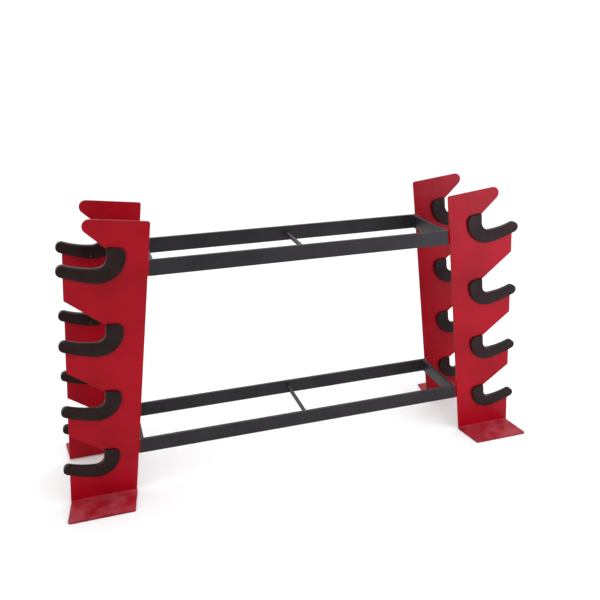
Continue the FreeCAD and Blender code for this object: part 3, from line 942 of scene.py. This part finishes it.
def buildCleats():
    for row, end in quarters:
        both = joinParts([cleatShape("top"), cleatShape("bottom")])
        makePiece(f"cleats-{row}-{end}", toQuarter(both[0], row, end), both[1], "red_powder_coat",
                  [f"cleats_{row}_{end}"])
        beads = joinParts([cleatBeads("top"), cleatBeads("bottom")])
        makePiece(f"cleatWelds-{row}-{end}", toQuarter(beads[0], row, end), beads[1], "red_powder_coat")


buildCleats()
print("cleats welded")


# fasteners, each turned about its own axis

bolt = {"shank": 4.0, "grip": 13.0, "head": 6.5, "headHeight": 5.3, "crown": 6.0,
        "dish": 0.5, "dishIn": (1.2, 0.8), "tipChamfer": 0.8, "spacing": 30.0, "depthIn": 30.0,
        "chamferAngle": 30, "cornerShare": 1.155}         # share: a hexagon's corner over its flat
washer = {"radius": 8.0, "bore": 4.2, "thickness": 1.6, "round": 0.35}
screw = {"head": 5.2, "height": 3.3, "shank": 3.0, "length": 11.9, "tipChamfer": 0.6,
         "socket": 1.75, "socketDepth": 2.0, "drillPoint": 0.4, "socketLip": 0.15,
         "domeTurn": (0.42, 1.5), "domeBase": 0.8, "rimUp": 0.5, "rimIn": 0.3}


def boltRings():
    # from the middle of the crown out to the flats, down to the washer, in to the shank and on to its tip
    flats, crown, shank, tip = bolt["head"], bolt["crown"], bolt["shank"], -bolt["grip"]
    seat = washer["thickness"]
    top = seat + bolt["headHeight"]
    dish, dishEdge = (crown - inset for inset in bolt["dishIn"])
    drop = math.tan(math.radians(bolt["chamferAngle"])) * (flats * bolt["cornerShare"] - crown)
    return [(0, top - bolt["dish"], 0), (dish, top - bolt["dish"], 0), (dishEdge, top, 0), (crown, top, 0),
            (flats * 0.985, top - drop * 0.45, 0.55), (flats, top - drop, 1), (flats, seat + 0.3, 1),
            (flats * 0.97, seat, 0.9), (shank, seat, 0),
            (shank, bolt["tipChamfer"] + tip, 0), (shank - bolt["tipChamfer"], tip, 0), (0, tip, 0)]


def washerRings():
    # once round the washer's section, from the bore over the top and back
    high, low, easing = washer["thickness"], 0, washer["round"]
    bore, radius = washer["bore"], washer["radius"]
    return [(bore, high - easing, 0), (bore + easing, high, 0), (radius - easing, high, 0),
            (radius, high - easing, 0), (radius, low + easing, 0), (radius - easing, low, 0),
            (bore + easing, low, 0), (bore, low + easing, 0), (bore, high - easing, 0)]


def screwRings():
    # hexagon socket, then the dome at head sin f, base + (height - base) cos f / cos of its first f, then
    # the shank
    head, height, shank, tip = screw["head"], screw["height"], screw["shank"], -screw["length"]
    dome = np.linspace(*screw["domeTurn"], 7)
    base, floor, socket = screw["domeBase"], height - screw["socketDepth"], screw["socket"]
    crown = [(head * math.sin(turn), base + (height - base) * math.cos(turn) / math.cos(dome[0]), 0)
             for turn in dome]
    hollow = [(0, floor - screw["drillPoint"], 0), (socket, floor, 1),
              (socket, height - screw["socketLip"], 1)]
    stem = [(head, screw["rimUp"], 0), (head - screw["rimIn"], 0, 0), (shank, 0, 0),
            (shank, screw["tipChamfer"] + tip, 0), (shank - screw["tipChamfer"], tip, 0), (0, tip, 0)]
    return hollow + crown + stem


def buildFasteners():
    outward = np.array([cosLean, 0, sinLean])
    for name in ("top", "bottom"):
        places = [stand(0, cleatUp(name) + side * bolt["spacing"] / 2, innerFace + bolt["depthIn"])
                  for side in (-1, 1)]
        for kind, rings in (("Bolts", boltRings()), ("Washers", washerRings())):
            parts = [turnedShape(rings, toQuarter(place, row, end), toQuarter(outward, row, end))
                     for row, end in quarters for place in places]
            makePiece(f"{name}{kind}", *joinParts(parts), "blackened_steel", [f"{name}_{kind.lower()}"])
    seat = plateMiddle + saddle["depth"] / 2 - saddle["pocketDepth"]
    for row, end in quarters:
        parts = [turnedShape(screwRings(), toQuarter(stand(*inTier(tier, *place), seat), row, end),
                             toQuarter(np.array([0, 1.0, 0]), row, end))
                 for tier in range(tiers["count"]) for place in saddle["screws"]]
        makePiece(f"saddleScrews-{row}-{end}", *joinParts(parts), "blackened_steel",
                  [f"saddle_screws_{row}_{end}"])
    for name in ("top", "bottom"):
        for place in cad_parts[f"{name}_inserts"].material_slots:
            place.material = finishes["zinc_plate"]


buildFasteners()
print("fasteners in")
